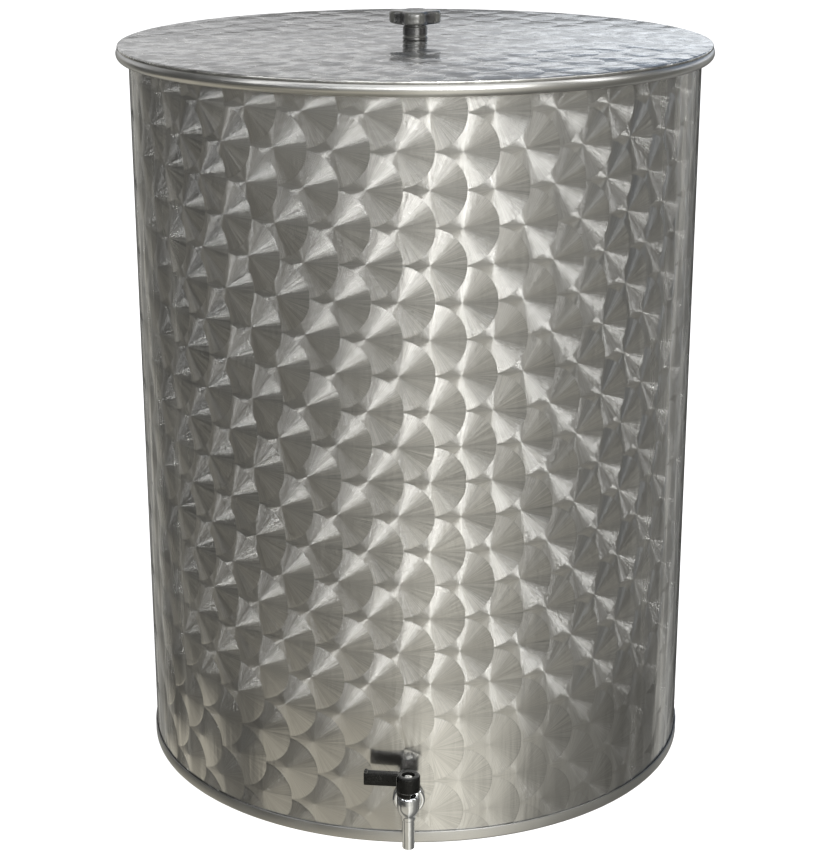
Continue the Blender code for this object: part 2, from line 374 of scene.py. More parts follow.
def group_of(name: str, inputs: Sequence[tuple[str, str, object]], outputs: Sequence[tuple[str, str]],
             fill: Callable[[Sketch, Sockets], Sockets]) -> Tree:
    """Builds a node group once and gives it again after that.

    Args:
        name: The group's name.
        inputs: Name, socket type and default value of each input.
        outputs: Name and socket type of each output.
        fill: Draws the inside; takes the sketch and the inputs by name, gives the outputs by name.

    Returns:
        The node group.
    """
    known = bpy.data.node_groups.get(name)
    if known is not None:
        return known
    tree = bpy.data.node_groups.new(name, "ShaderNodeTree")
    for label, kind, default in inputs:
        socket = tree.interface.new_socket(name=label, in_out="INPUT", socket_type="NodeSocket" + kind)
        socket.default_value = default
    for label, kind in outputs:
        tree.interface.new_socket(name=label, in_out="OUTPUT", socket_type="NodeSocket" + kind)
    given = tree.nodes.new("NodeGroupInput")
    result = tree.nodes.new("NodeGroupOutput")
    made = fill(Sketch(tree), {s.name: s for s in given.outputs if s.name})
    for label, socket in made.items():
        tree.links.new(socket, result.inputs[label])
    return tree


def place_group(sketch: Sketch, tree: Tree, **values: object) -> Sockets:
    """Places a node group and feeds it.

    Args:
        sketch: The tree to place it in.
        tree: The group.
        values: Its inputs, with underscores for spaces.

    Returns:
        Its outputs by name.
    """
    made = sketch.node("Group", node_tree=tree)
    sketch.supply(made, {key.replace("_", " "): value for key, value in values.items()})
    return {s.name: s for s in made.outputs}


def disc_swirls() -> Tree:
    """The engine-turned pattern: overlapping discs, each ground in fine rings about its centre, its tone
    painted with highlight wedges and rays.
    """
    jitter, ring_drift, drift_scale, ray_count, fine_ray_count = 0.0012, 1.6, 900.0, 13.0, 34.0
    drift_seed, depth_seed, ray_seed, fine_seed = 90.0, 71.0, 57.0, 83.0
    inputs = [
        ("Across", "Float", 0.0), ("Up", "Float", 0.0),
        ("Across Direction", "Vector", (1.0, 0.0, 0.0)), ("Up Direction", "Vector", (0.0, 0.0, 1.0)),
        ("Surface Normal", "Vector", (0.0, 0.0, 1.0)),
        ("Column Pitch", "Float", 0.0269), ("Row Pitch", "Float", 0.0633), ("Disc Radius", "Float", 0.0312),
        ("Ring Pitch", "Float", 0.0005), ("Land", "Float", 0.35), ("Ring Slope", "Float", 0.5),
        ("Dish Slope", "Float", 0.04), ("Ray Slope", "Float", 0.08), ("Edge Slope", "Float", 0.2),
    ]
    outputs = [("Normal", "Vector"), ("Land Normal", "Vector"), ("Tone", "Float"), ("Grind", "Float")]

    def nearest_disc(s: Sketch, given: Sockets) -> Iterable[Socket]:
        """Gives the way (across, up) and the distance from the topmost disc's centre, and its seed."""
        pitch, rise, radius = given["Column Pitch"], given["Row Pitch"], given["Disc Radius"]
        column = s.math("DIVIDE", given["Across"], pitch)
        row_place = s.math("DIVIDE", given["Up"], rise)
        first = s.math("CEIL", s.math("SUBTRACT", column, s.math("DIVIDE", radius, pitch)))
        tries = []
        for step in (0.0, 1.0):
            number = s.math("ADD", first, step)
            half = s.math("MULTIPLY", s.math("FLOORED_MODULO", number, 2.0), 0.5)
            shifted = s.math("SUBTRACT", row_place, half)
            row = s.math("ROUND", shifted)
            luck = s.chance(s.math("ADD", number, 0.31), s.math("ADD", row, 0.17))
            off_x, off_z, seed = s.separate(luck.outputs["Color"])
            dx = s.math("MULTIPLY", s.math("SUBTRACT", column, number), pitch)
            dz = s.math("MULTIPLY", s.math("SUBTRACT", shifted, row), rise)
            dx = s.math("MULTIPLY_ADD", s.math("SUBTRACT", off_x, 0.5), jitter, dx)
            dz = s.math("MULTIPLY_ADD", s.math("SUBTRACT", off_z, 0.5), jitter, dz)
            tries.append((dx, dz, s.vector("LENGTH", s.combine(dx, 0.0, dz), result="Value"), seed))
        inside = s.math("LESS_THAN", tries[0][2], radius)
        return (s.mix("FLOAT", inside, other, one) for one, other in zip(*tries))

    def fill(s: Sketch, given: Sockets) -> Sockets:
        """Draws the pattern."""
        dx, dz, far, seed = nearest_disc(s, given)
        far = s.math("MAXIMUM", far, 1e-5)
        turn = s.math("ARCTAN2", dz, dx)
        across, up, surface = given["Across Direction"], given["Up Direction"], given["Surface Normal"]
        part_x, part_z = s.math("DIVIDE", dx, far), s.math("DIVIDE", dz, far)
        out = s.vector("ADD", s.scaled(across, part_x), s.scaled(up, part_z))
        side = s.vector("SUBTRACT", s.scaled(up, part_x), s.scaled(across, part_z))
        rings = s.math("DIVIDE", far, given["Ring Pitch"])
        drift = s.wave(s.math("MULTIPLY", far, drift_scale), s.math("MULTIPLY", seed, drift_seed))
        rings = s.math("MULTIPLY_ADD", drift, ring_drift, rings)
        groove = s.math("MULTIPLY_ADD", s.math("PINGPONG", rings, 0.5), 4.0, -1.0)
        way = s.math("SIGN", groove)
        groove = s.ranged(s.math("ABSOLUTE", groove), given["Land"], 1.0, 0.0, 1.0)
        steep = s.math("SQRT", s.math("SUBTRACT", 1.08, s.math("MULTIPLY", groove, groove)))
        groove = s.math("MULTIPLY", groove, way)
        half_ring = s.math("FLOOR", s.math("MULTIPLY", rings, 2.0))
        luck = s.chance(half_ring, s.math("MULTIPLY", seed, depth_seed))
        depth = s.math("MULTIPLY_ADD", luck.outputs["Value"], 0.3, 0.85)
        rays = s.wave(s.math("MULTIPLY", turn, ray_count), s.math("MULTIPLY", seed, ray_seed), 3.0)
        depth = s.math("MULTIPLY", depth, s.ranged(rays, 0.36, 0.64, 0.45, 1.45))
        slope = s.math("MULTIPLY", s.math("DIVIDE", groove, steep), depth)
        edge = s.fade(s.math("DIVIDE", far, given["Disc Radius"]), 0.95, 0.995)
        dish = s.math("MULTIPLY_ADD", edge, given["Edge Slope"], given["Dish Slope"])
        slope = s.math("MULTIPLY_ADD", slope, given["Ring Slope"], dish)
        uneven = s.math("SUBTRACT", rays, 0.5)
        lean = s.math("MULTIPLY", uneven, given["Ray Slope"])
        normal = s.vector("ADD", surface, s.scaled(out, slope))
        normal = s.vector("NORMALIZE", s.vector("ADD", normal, s.scaled(side, lean)))
        flat = s.vector("NORMALIZE", s.vector("ADD", surface, s.scaled(out, dish)))
        # Painted highlight: each disc's tone is lighter above and below its centre and darker to its sides,
        # a fixed bow-tie in place of the highlight that its rings catch.
        painted_fans = s.math("MULTIPLY", s.math("COSINE", s.math("MULTIPLY", turn, 2.0)), -0.07)
        tone = s.math("ADD", s.math("MULTIPLY_ADD", seed, 0.08, 0.96), painted_fans)
        # Rays round each centre in the tone: partly real radial grinding marks, partly painted highlight
        # rays.
        fine = s.wave(s.math("MULTIPLY", turn, fine_ray_count), s.math("MULTIPLY", seed, fine_seed), 2.0)
        tone = s.math("MULTIPLY_ADD", s.math("SUBTRACT", fine, 0.5), 0.55, tone)
        tone = s.math("MULTIPLY_ADD", edge, -0.05, tone)
        grind = s.math("MULTIPLY_ADD", uneven, 0.5, seed)
        return {"Normal": normal, "Land Normal": flat, "Tone": tone, "Grind": grind}

    return group_of("disc_swirls", inputs, outputs, fill)


def handling_marks() -> Tree:
    """Faint smears and fine scratches of use, as masks from 0 to 1."""
    inputs = [
        ("Place", "Vector", (0.0, 0.0, 0.0)), ("Smear Scale", "Float", 14.0),
        ("Scratch Scale", "Float", 160.0),
    ]
    outputs = [("Smears", "Float"), ("Scratches", "Float")]

    def fill(s: Sketch, given: Sockets) -> Sockets:
        """Draws the marks."""
        wide = s.node("TexNoise", given["Place"], noise_dimensions="3D")
        s.supply(wide, {"Scale": given["Smear Scale"], "Detail": 4.0})
        smears = s.fade(wide.outputs["Fac"], 0.42, 0.72)
        warp = s.vector("ADD", given["Place"], s.scaled(wide.outputs["Color"], 0.02))
        cells = s.node("TexVoronoi", warp, feature="DISTANCE_TO_EDGE")
        s.feed(cells.inputs["Scale"], given["Scratch Scale"])
        thin = s.ranged(cells.outputs["Distance"], 0.0, 0.035, 1.0, 0.0)
        return {"Smears": smears, "Scratches": s.math("MULTIPLY", thin, smears)}

    return group_of("handling_marks", inputs, outputs, fill)


# Finishes


def bare_material(name: str) -> tuple[Material, Sketch, Node, Socket]:
    """Starts a material.

    Args:
        name: The material's name.

    Returns:
        The material, a sketch of its tree, its shader and its Object coordinates.
    """
    mat = bpy.data.materials.new(name)
    mat.use_nodes = True
    sketch = Sketch(mat.node_tree)
    shader = mat.node_tree.nodes["Principled BSDF"]
    place = sketch.node("TexCoord").outputs["Object"]
    return mat, sketch, shader, place


def marked(s: Sketch, place: Socket, smear_scale: float, scratch_scale: float) -> Sockets:
    """Places the handling marks at the given scales and gives their masks."""
    return place_group(
        s, handling_marks(), Place=place, Smear_Scale=smear_scale, Scratch_Scale=scratch_scale
    )


def edge_mask(s: Sketch, width: float) -> Socket:
    """Gives a mask of the rounded edges, from the turn of the normal over a width."""
    rounded = s.node("Bevel", width, samples=6)
    flat = s.node("NewGeometry").outputs["Normal"]
    turn = s.vector("DOT_PRODUCT", rounded.outputs[0], flat, result="Value")
    return s.fade(turn, 0.995, 0.93)


@dataclass(frozen=True)
class SwirlSteel:
    """Stainless sheet with overlapping ground discs."""

    sheet: Sheet
    name: str
    colour: Triple = (0.60, 0.598, 0.586)
    roughness: float = 0.12
    haze_roughness: float = 0.30
    haze_share: float = 0.28
    edge_on_share: float = 0.85
    land_roughness: float = 0.06
    columns: int = 62
    first_column: float = 4.02
    first_row: float = 0.030
    row_pitch: float = 0.0633
    disc_radius: float = 0.0312
    ring_pitch: float = 0.00035
    land: float = 0.35
    foot_land: float = 0.92
    foot_z: float = 0.17
    ring_slope: float = 0.90
    dish_slope: float = 0.03
    ray_slope: float = 0.06
    edge_slope: float = 0.04
    wave_scale: float = 7.0
    wave_height: float = 0.0013
    roll_scale: float = 70.0
    roll_height: float = 0.0006
    roll_stretch: float = 0.09
    reflection_bands: float = 0.8
    smear_scale: float = 9.0
    smear_tone: float = 0.95
    smear_rough: float = 0.03
    scratch_scale: float = 60.0
    grind_rough: float = 0.06

    def laid_out(self, s: Sketch, place: Socket) -> dict[str, object]:
        """Gives the pattern's own coordinates and directions.

        Args:
            s: The material's sketch.
            place: Object coordinates.

        Returns:
            The group's placing inputs by name.
        """
        x, y, z = s.separate(place)
        pitch = math.tau * BODY_R / self.columns
        if self.sheet is Sheet.FLAT:
            return {
                "Across": x, "Up": y, "Across_Direction": (1.0, 0.0, 0.0),
                "Up_Direction": (0.0, 1.0, 0.0), "Column_Pitch": pitch,
            }
        turn = s.math("ARCTAN2", x, s.math("MULTIPLY", y, -1.0))
        across = s.math("MULTIPLY", s.math("SUBTRACT", turn, math.radians(self.first_column)), BODY_R)
        along = s.combine(s.math("COSINE", turn), s.math("SINE", turn), 0.0)
        return {
            "Across": across, "Up": s.math("SUBTRACT", z, self.first_row),
            "Across_Direction": along, "Up_Direction": (0.0, 0.0, 1.0), "Column_Pitch": pitch,
        }

    def dress(self, s: Sketch, shader: Node, steel: Socket, normal: Socket, rough: Value) -> None:
        """Sets a shader up as bare metal."""
        s.supply(shader, {"Base Color": steel, "Normal": normal, "Roughness": rough, "Metallic": 1.0})

    def material(self) -> Material:
        """Makes the material: grooved discs, their flat lands seen edge on with painted reflection bands,
        and a haze over both.
        """
        mat, s, shader, place = bare_material(self.name)
        x, y, z = s.separate(place)
        land = self.land
        if self.sheet is Sheet.WALL:
            land = s.fade(z, self.foot_z, self.foot_z / 2, self.land, self.foot_land)
        waves = s.math("MULTIPLY", s.noise(place, self.wave_scale, 1.0), self.wave_height)
        rolls = s.noise(s.combine(x, y, s.math("MULTIPLY", z, self.roll_stretch)), self.roll_scale, 3.0)
        waves = s.math("MULTIPLY_ADD", rolls, self.roll_height, waves)
        swirls = place_group(
            s, disc_swirls(), Surface_Normal=s.bumped(waves, 1.0, 1.0), Row_Pitch=self.row_pitch,
            Disc_Radius=self.disc_radius, Ring_Pitch=self.ring_pitch, Land=land, Ring_Slope=self.ring_slope,
            Dish_Slope=self.dish_slope, Ray_Slope=self.ray_slope, Edge_Slope=self.edge_slope,
            **self.laid_out(s, place),
        )
        marks = marked(s, place, self.smear_scale, self.scratch_scale)
        smeared = s.ranged(marks["Smears"], 0.0, 1.0, 1.0, self.smear_tone)
        # The discs' tone holds painted highlight wedges and rays besides each disc's random tone.
        steel = s.toned(self.colour, s.math("MULTIPLY", swirls["Tone"], smeared))
        least_rough = self.roughness - self.grind_rough / 2
        rough = s.math("MULTIPLY_ADD", swirls["Grind"], self.grind_rough, least_rough)
        rough = s.math("MULTIPLY_ADD", marks["Smears"], self.smear_rough, rough)
        self.dress(s, shader, steel, swirls["Normal"], rough)
        # Painted reflection: the lands' colour is lightened and darkened in bands along the sheet's rolls.
        painted_bands = s.ranged(rolls, 0.40, 0.60, 1.0 - self.reflection_bands, 1.0 + self.reflection_bands)
        lands, haze = s.node("BsdfPrincipled"), s.node("BsdfPrincipled")
        self.dress(s, lands, s.toned(steel, painted_bands), swirls["Land Normal"], self.land_roughness)
        self.dress(s, haze, steel, swirls["Normal"], self.haze_roughness)
        facing = s.node("LayerWeight", 0.5).outputs["Facing"]
        edge_on = s.ranged(facing, 0.35, 0.90, 0.0, self.edge_on_share)
        coats = s.mixed(self.haze_share, s.mixed(edge_on, shader, lands), haze)
        s.feed(mat.node_tree.nodes["Material Output"].inputs["Surface"], coats.outputs[0])
        return mat


@dataclass(frozen=True)
class PlainMetal:
    """Steel or chrome without the ground discs: an even grain, faint smears and fine scratches."""

    name: str
    colour: Triple = (0.60, 0.597, 0.585)
    roughness: float = 0.28
    smear_scale: float = 30.0
    smear_tone: float = -0.05
    smear_rough: float = 0.08
    scratch_scale: float = 240.0
    scratch_rough: float = 0.10
    grain_scale: float = 900.0
    grain_detail: float = 2.0
    grain_tone: float = 0.12
    grain_bump: float = 0.05
    grain_depth: float = 0.0005
    lip_z: float = 0.0
    lip_fade: float = 0.0006
    lip_tone: float = 0.55

    def material(self) -> Material:
        """Makes the material, with painted shade above the lip's height where it has one."""
        mat, s, shader, place = bare_material(self.name)
        marks = marked(s, place, self.smear_scale, self.scratch_scale)
        grain = s.noise(place, self.grain_scale, self.grain_detail)
        tone = s.math("MULTIPLY_ADD", s.math("SUBTRACT", grain, 0.5), self.grain_tone, 1.0)
        tone = s.math("MULTIPLY_ADD", marks["Smears"], self.smear_tone, tone)
        # Painted shade: the lip is darker above its given height, damping the highlight on its rounded top
        # against the wall.
        if self.lip_z:
            lip_shade = s.fade(s.separate(place)[2], self.lip_z - self.lip_fade, self.lip_z, 1.0, self.lip_tone)
            tone = s.math("MULTIPLY", tone, lip_shade)
        rough = s.math("MULTIPLY_ADD", marks["Smears"], self.smear_rough, self.roughness)
        s.supply(shader, {
            "Base Color": s.toned(self.colour, tone),
            "Roughness": s.math("MULTIPLY_ADD", marks["Scratches"], self.scratch_rough, rough),
            "Normal": s.bumped(grain, self.grain_bump, self.grain_depth),
            "Metallic": 1.0,
        })
        return mat


@dataclass(frozen=True)
class BlackPlastic:
    """Moulded black plastic with a fine grain and paler edges, partly wear and partly painted highlight."""

    name: str
    colour: Triple = (0.007, 0.007, 0.0065)
    wear_and_glint: Triple = (0.42, 0.42, 0.40)
    roughness: float = 0.27
    edge_width: float = 0.0006
    edge_glint_and_wear: float = 0.9
    scratch_wear: float = 0.12
    top_sheen_and_wear: float = 0.0
    crown_r: float = 0.0
    crown_width: float = 0.003
    crown_sheen_and_wear: float = 0.32
    smear_scale: float = 60.0
    smear_rough: float = 0.12
    scratch_scale: float = 420.0
    grain_scale: float = 2200.0
    shine: float = 0.17
    coat: float = 0.0

    def material(self) -> Material:
        """Makes the material, paler on top and on the lobes' crowns: partly wear, partly painted highlight.
        """
        mat, s, shader, place = bare_material(self.name)
        marks = marked(s, place, self.smear_scale, self.scratch_scale)
        patchy = s.ranged(s.noise(place, 260.0, 3.0), 0.35, 0.65, 0.25, 1.0)
        # Paler edges: partly wear, partly painted highlight along them.
        edges = s.math("MULTIPLY", edge_mask(s, self.edge_width), patchy)
        edges = s.math("MULTIPLY", edges, self.edge_glint_and_wear)
        wear_and_glint = s.math("MULTIPLY_ADD", marks["Scratches"], self.scratch_wear, edges)
        # Painted highlight on upward faces, partly wear: paler the more a face turns up.
        upward = s.separate(s.node("NewGeometry").outputs["True Normal"])[2]
        cloud = s.ranged(s.noise(place, 140.0, 4.0), 0.3, 0.6, 0.4, 1.0)
        sheen_and_wear = s.math("MULTIPLY", s.fade(upward, 0.4, 0.95, 0.0, self.top_sheen_and_wear), cloud)
        # Painted highlight on the lobes' crowns, partly wear: paler towards the knob's outer radius.
        if self.crown_r:
            x, y = s.separate(place)[:2]
            reach = s.vector("LENGTH", s.combine(x, y, 0.0), result="Value")
            crowns = s.fade(reach, self.crown_r - self.crown_width, self.crown_r, 0.0, self.crown_sheen_and_wear)
            sheen_and_wear = s.math("MAXIMUM", sheen_and_wear, crowns)
        s.supply(shader, {
            "Base Color": s.blend(s.math("MAXIMUM", wear_and_glint, sheen_and_wear), self.colour, self.wear_and_glint),
            "Roughness": s.math("MULTIPLY_ADD", marks["Smears"], self.smear_rough, self.roughness),
            "Normal": s.bumped(s.noise(place, self.grain_scale, 2.0), 0.35, 0.00012),
            "Specular IOR Level": self.shine, "Coat Weight": self.coat, "Coat Roughness": self.roughness,
        })
        return mat


@dataclass(frozen=True)
class Rubber:
    """Flat black seal rubber with a bloom of grey."""

    name: str = "rubber"
    colour: Triple = (0.022, 0.022, 0.022)
    bloom: Triple = (0.06, 0.06, 0.058)
    bloom_scale: float = 320.0
    grain_scale: float = 1500.0

    def material(self) -> Material:
        """Makes the material."""
        mat, s, shader, place = bare_material(self.name)
        cloud = s.noise(place, self.bloom_scale, 4.0, 0.65)
        s.supply(shader, {
            "Base Color": s.blend(s.ranged(cloud, 0.4, 0.7, 0.0, 1.0), self.colour, self.bloom),
            "Roughness": s.ranged(cloud, 0.3, 0.7, 0.62, 0.85),
            "Normal": s.bumped(s.noise(place, self.grain_scale, 2.0), 0.4, 0.0001),
        })
        return mat


@dataclass(frozen=True)
class Palette:
    """The drum's finishes, made once."""

    wall: Material
    flat: Material
    steel: Material
    foot: Material
    chrome: Material
    plastic: Material
    knob: Material
    rubber: Material

    @classmethod
    def mixed(cls) -> "Palette":
        """Makes every finish."""
        flat = SwirlSteel(
            Sheet.FLAT, "swirl_steel_flat", haze_share=0.27, edge_on_share=0.80, land_roughness=0.04,
            land=0.40, dish_slope=0.022, wave_height=0.002, roll_height=0.00045, reflection_bands=0.65,
        )
        chrome = PlainMetal(
            "chrome", colour=(0.78, 0.80, 0.835), roughness=0.05, smear_scale=70.0, smear_tone=-0.06,
            scratch_scale=500.0, scratch_rough=0.12, grain_scale=180.0, grain_detail=1.0, grain_tone=0.0,
            grain_bump=0.5, grain_depth=0.0004,
        )
        knob = BlackPlastic(
            "knob_plastic", colour=(0.012, 0.012, 0.013), wear_and_glint=(0.24, 0.24, 0.22), roughness=0.22,
            top_sheen_and_wear=0.5, crown_r=0.0225, shine=1.0, coat=0.6,
        )
        return cls(
            wall=SwirlSteel(Sheet.WALL, "swirl_steel_wall").material(),
            flat=flat.material(),
            steel=PlainMetal("plain_steel").material(),
            foot=PlainMetal("foot_steel", roughness=0.34, lip_z=0.0110).material(),
            chrome=chrome.material(),
            plastic=BlackPlastic("black_plastic").material(),
            knob=knob.material(),
            rubber=Rubber().material(),
        )


# Pieces


class Assembly:
    """A sub-assembly on one body, which hands its pieces to the frame."""

    body: ClassVar[Body] = Body.TANK

    def deliver(
        self, name: str, bm: Mesh, slot: str, nodes: Iterable[str], finishes: Sequence[Material],
        smooth: float = 35.0, choose: Optional[Callable[[Vector], int]] = None,
    ) -> None:
        """Makes a piece, hands it to the frame and reports it.

        Args:
            name: The piece's name.
            bm: The mesh, which is freed.
            slot: The record's material slot; not used.
            nodes: The solids that it stands for.
            finishes: Its materials.
            smooth: Edges that turn more than this many degrees stay sharp.
            choose: Gives a face's material number from its centre.
        """
        made = piece(name, bm, finishes, smooth, choose)
        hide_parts(*nodes)
        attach(made, self.body.value)
        LOG.info("%s: %d faces on %s", name, len(made.data.polygons), self.body.value)

    def build(self, palette: Palette) -> None:
        """Builds and dresses the sub-assembly with the given finishes."""
        raise NotImplementedError


@dataclass
class Shell(Assembly):
    """The rolled wall with its curled rim, flanged bottom and back weld."""

    low: float = 0.0011
    rim_z: float = 0.6825
    rim_shave: float = 0.00004
    bead_r: float = 0.0062
    curl_end: float = -150.0
    flange_t: float = 0.0015
    flange_h: float = 0.0115
    flange_corner: float = 0.0022
    plate_t: float = 0.0010
    seam_w: float = 0.0040
    seam_t: float = 0.0005
    hole_r: float = 0.0103
    patch: float = 0.0128
    wall_nodes: int = 17

    def near_hole(self, place: Vector, margin: float = 0.0) -> bool:
        """Tells whether a place lies in the square patch round the tap's hole."""
        reach = self.patch + margin
        return place.y < 0 and abs(place.x) < reach and abs(place.z - HOLE_Z) < reach

    def wall_mesh(self) -> Mesh:
        """One sheet, cut round the tap's hole and thickened inward."""
        around_hole = [HOLE_Z - self.patch, HOLE_Z + self.patch]
        heights = [self.low, 0.02, *around_hole, 0.10, 0.25, 0.40, 0.55, self.rim_z]
        bm = turned([(BODY_R, z) for z in heights], FULL_TURN_STEPS, closed=False)
        for side in (-1, 1):
            every = bm.verts[:] + bm.edges[:] + bm.faces[:]
            bmesh.ops.bisect_plane(bm, geom=every, plane_co=(side * self.patch, 0, 0), plane_no=(1, 0, 0))
        inside = [f for f in bm.faces if self.near_hole(f.calc_center_median())]
        bmesh.ops.delete(bm, geom=inside, context="FACES")
        square = [e for e in bm.edges if e.is_boundary and all(self.near_hole(v.co, 1e-4) for v in e.verts)]
        hole = bmesh.ops.create_circle(bm, cap_ends=False, radius=self.hole_r, segments=40)["verts"]
        bmesh.ops.rotate(bm, verts=hole, cent=(0, 0, 0), matrix=Matrix.Rotation(math.radians(90), 3, "X"))
        bmesh.ops.translate(bm, verts=hole, vec=(0, 0, HOLE_Z))
        for vert in hole:
            vert.co.y = -math.sqrt(BODY_R**2 - vert.co.x**2)
        circle = list({e for v in hole for e in v.link_edges})
        bmesh.ops.bridge_loops(bm, edges=square + circle)
        bmesh.ops.recalc_face_normals(bm, faces=bm.faces)
        if sum(f.normal.dot(f.calc_center_median().xy.to_3d()) for f in bm.faces) < 0:
            bmesh.ops.reverse_faces(bm, faces=bm.faces)
        bmesh.ops.solidify(bm, geom=bm.verts[:] + bm.edges[:] + bm.faces[:], thickness=SHEET_T)
        return bm

    def rim_mesh(self) -> Mesh:
        """The sheet's mouth, rolled outward into an open curl."""
        centre = (BODY_R - SHEET_T + self.bead_r - self.rim_shave, self.rim_z)
        half_t, end = SHEET_T / 2, math.radians(self.curl_end)
        middle_r = self.bead_r - half_t
        tip_centre = (centre[0] + middle_r * math.cos(end), centre[1] + middle_r * math.sin(end))
        outside = arc(centre, self.bead_r, 180, self.curl_end, 40)
        tip = arc(tip_centre, half_t, self.curl_end, self.curl_end - 180, 4)
        inside = arc(centre, self.bead_r - SHEET_T, self.curl_end, 180, 32)
        return turned(outside + tip[1:-1] + inside, FULL_TURN_STEPS)

    def bottom_mesh(self) -> Mesh:
        """The bottom plate with its edge turned up round the foot."""
        inner = BODY_R + GAP
        outer = inner + self.flange_t
        half_t = self.flange_t / 2
        corner = arc((outer - self.flange_corner, self.flange_corner), self.flange_corner, -90, 0, 8)
        lip = arc((outer - half_t, self.flange_h - half_t), half_t, 0, 180, 6)
        section = [(0.0, 0.0), *corner, *lip, (inner, self.plate_t), (0.0, self.plate_t)]
        return turned(section, FULL_TURN_STEPS)

    def seam_mesh(self) -> Mesh:
        """The upright weld bead at the back, a low dome across."""
        low, high = self.flange_h + GAP, self.rim_z - self.bead_r - GAP
        bm = bmesh.new()
        bmesh.ops.create_circle(bm, cap_ends=True, radius=1.0, segments=16)
        bmesh.ops.scale(bm, vec=(self.seam_w / 2, self.seam_t * 0.55, 1.0), verts=bm.verts)
        moved(bm, (0, BODY_R + GAP / 2 + self.seam_t * 0.45, low))
        for made in bmesh.ops.extrude_face_region(bm, geom=bm.faces[:])["geom"]:
            if isinstance(made, bmesh.types.BMVert):
                made.co.z = high
        return bm

    def build(self, palette: Palette) -> None:
        """Builds and dresses the shell, the wall plain inside and the pan plain where it turns up."""
        middle_r, flat_r = BODY_R - SHEET_T / 2, BODY_R - SHEET_T
        segments = [f"wall_segment_{n + 1:02d}" for n in range(self.wall_nodes)]
        self.deliver(
            "shell_wall", self.wall_mesh(), "swirl_steel", segments, [palette.wall, palette.steel],
            choose=lambda centre: 0 if centre.xy.length > middle_r else 1,
        )
        self.deliver("rolled_rim", self.rim_mesh(), "plain_steel", ["rim_bead"], [palette.steel])
        self.deliver(
            "bottom_pan", self.bottom_mesh(), "swirl_steel", ["bottom_plate", "bottom_flange"],
            [palette.flat, palette.foot], choose=lambda centre: 0 if centre.xy.length < flat_r else 1,
        )
        self.deliver("back_weld", self.seam_mesh(), "plain_steel", ["weld_seam"], [palette.steel])


